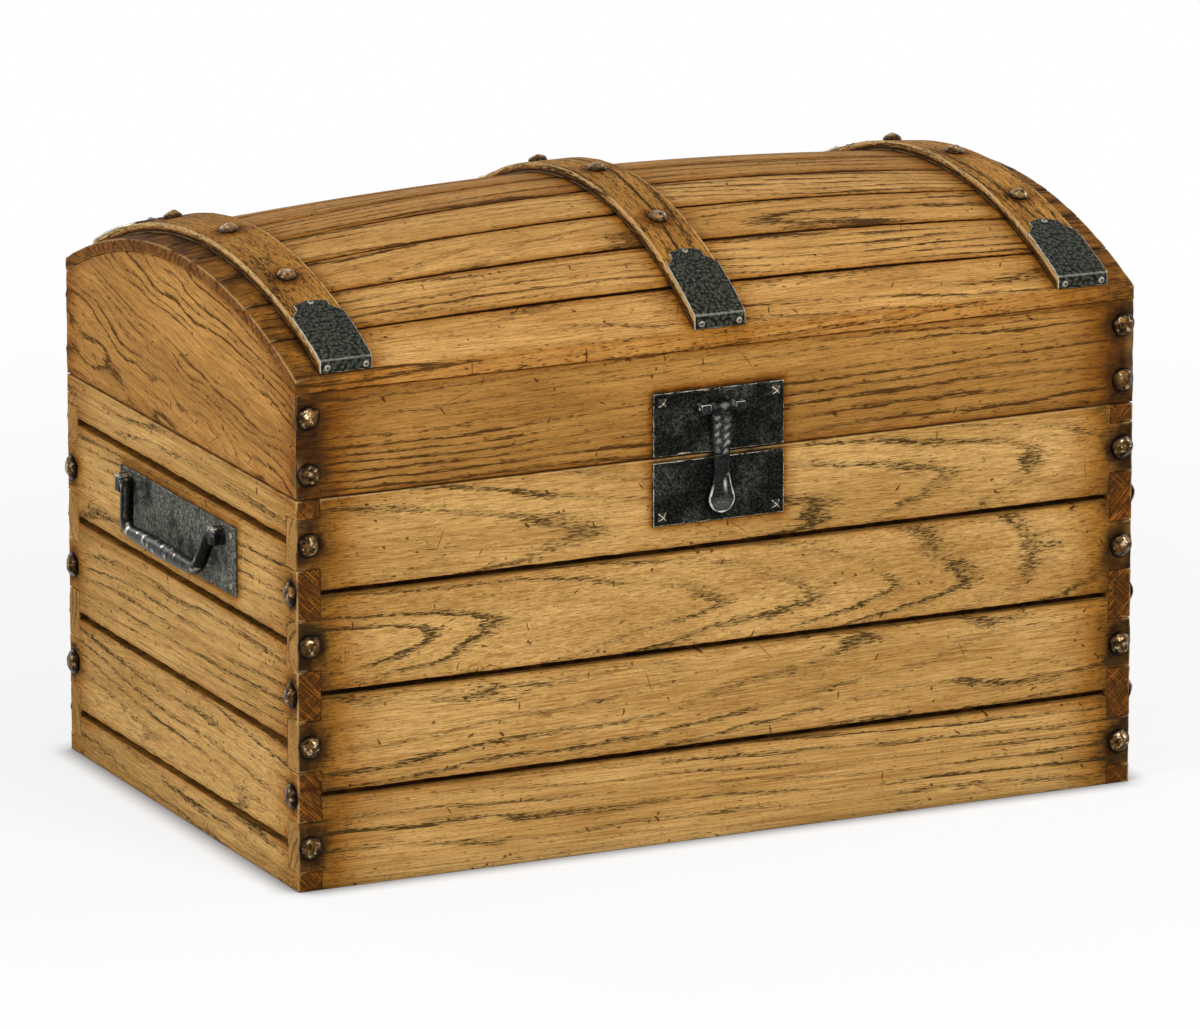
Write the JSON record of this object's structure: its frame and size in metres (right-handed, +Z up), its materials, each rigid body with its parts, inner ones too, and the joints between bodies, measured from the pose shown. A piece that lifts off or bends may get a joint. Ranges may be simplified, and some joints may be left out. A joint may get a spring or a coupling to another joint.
{
  "type": "domed trunk",
  "caption": "Oak trunk with a bowed stave lid, bent straps with iron caps, studded finger-jointed corners, a drop hasp, end bails and a slotted lid stay.",
  "frame": {"origin": "on the floor under the middle of the trunk", "axes": "+X along the trunk to its right end, +Y to the back with the hinges, +Z up"},
  "size_m": [0.9564, 0.5871, 0.6168],
  "materials": {
    "oak_box": "waxed, dark glaze in the grain",
    "oak_lid": "waxed, dark glaze in the grain",
    "oak_staves": "waxed, dark glaze in the grain",
    "oak_straps": "waxed, rubbed edges",
    "oak_bottom": "plain sawn",
    "forged_studs": "forged, brown patina",
    "hammered_iron": "hammered, blackened",
    "iron_nails": "forged, rubbed",
    "hinge_iron": "blackened"
  },
  "bodies": {
    "body": {"front_board_1": "oak_box", "front_board_2": "oak_box", "front_board_3": "oak_box", "front_board_4": "oak_box", "back_board_1": "oak_box", "back_board_2": "oak_box", "back_board_3": "oak_box", "back_board_4": "oak_box", "left_board_1": "oak_box", "left_board_2": "oak_box", "left_board_3": "oak_box", "left_board_4": "oak_box", "left_board_5": "oak_box", "right_board_1": "oak_box", "right_board_2": "oak_box", "right_board_3": "oak_box", "right_board_4": "oak_box", "right_board_5": "oak_box", "bottom_cleats": "oak_bottom", "bottom_panel": "oak_bottom", "body_studs": "forged_studs", "hasp_lower_plate": "hammered_iron", "left_handle_plate": "hammered_iron", "right_handle_plate": "hammered_iron", "handle_lugs": "hammered_iron", "hinge_lower_leaves": "hinge_iron", "hinge_pins": "hinge_iron", "body_iron_nails": "iron_nails", "stay_stud": "hinge_iron"},
    "lid": {"lid_front_board": "oak_lid", "lid_back_board": "oak_lid", "lid_left_end": "oak_lid", "lid_right_end": "oak_lid", "stave_1": "oak_staves", "stave_2": "oak_staves", "stave_3": "oak_staves", "stave_4": "oak_staves", "stave_5": "oak_staves", "stave_6": "oak_staves", "stave_7": "oak_staves", "stave_8": "oak_staves", "stave_9": "oak_staves", "strap_left": "oak_straps", "strap_middle": "oak_straps", "strap_right": "oak_straps", "front_strap_caps": "hammered_iron", "back_strap_caps": "hammered_iron", "strap_studs": "forged_studs", "lid_corner_studs": "forged_studs", "lid_iron_nails": "iron_nails", "hasp_upper_plate": "hammered_iron", "hasp_lugs": "hammered_iron", "hasp_pin": "hammered_iron", "hinge_upper_leaves": "hinge_iron", "stay_pivot": "hinge_iron"},
    "hasp": {"hasp": "hammered_iron"},
    "left_bail": {"left_bail": "hammered_iron"},
    "right_bail": {"right_bail": "hammered_iron"},
    "lid_stay": {"stay_arm": "hinge_iron"}
  },
  "joints": [
    {"name": "lid_hinge", "type": "hinge", "parent": "body", "child": "lid", "pos_m": [0, 0.2865, 0.3875], "axis": [-1, 0, 0], "range_deg": [0, 95]},
    {"name": "hasp_swing", "type": "hinge", "parent": "lid", "child": "hasp", "pos_m": [-0.0045, -0.2891, 0.434], "axis": [-1, 0, 0], "range_deg": [0, 160]},
    {"name": "left_bail_swing", "type": "hinge", "parent": "body", "child": "left_bail", "pos_m": [-0.4615, 0, 0.316], "axis": [0, 1, 0], "range_deg": [0, 156]},
    {"name": "right_bail_swing", "type": "hinge", "parent": "body", "child": "right_bail", "pos_m": [0.4615, 0, 0.316], "axis": [0, -1, 0], "range_deg": [0, 156]},
    {"name": "stay_swing", "type": "hinge", "parent": "lid", "child": "lid_stay", "pos_m": [0.421, 0.17321, 0.44033], "axis": [-1, 0, 0], "range_deg": [-47.5, 0]}
  ],
  "couplings": [
    {"joint": "stay_swing", "follows": "lid_hinge", "ratio": -0.5}
  ]
}
